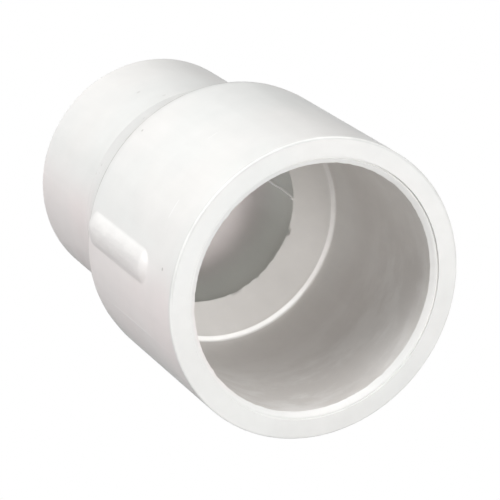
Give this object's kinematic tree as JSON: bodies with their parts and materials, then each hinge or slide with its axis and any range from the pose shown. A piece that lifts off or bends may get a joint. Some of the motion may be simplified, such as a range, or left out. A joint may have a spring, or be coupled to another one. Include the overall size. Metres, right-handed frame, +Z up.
{
  "type": "concentric reducer",
  "caption": "White PVC concentric reducing coupling: a large pipe socket tapers through an inner cone to a smaller socket on the same axis.",
  "frame": {"origin": "centre of the large pipe stop, where the large pipe's end seats, on the flow axis", "axes": "+Y along the flow axis from the large mouth to the small mouth; +Z up with the fitting lying on its side; the raised lug is on the -X side, 8.5 degrees above horizontal"},
  "size_m": [0.041, 0.0542, 0.0406],
  "materials": {
    "white_pvc": "smooth satin-gloss injection moulding"
  },
  "bodies": {
    "root": {"reducer_body": "white_pvc"}
  },
  "joints": []
}
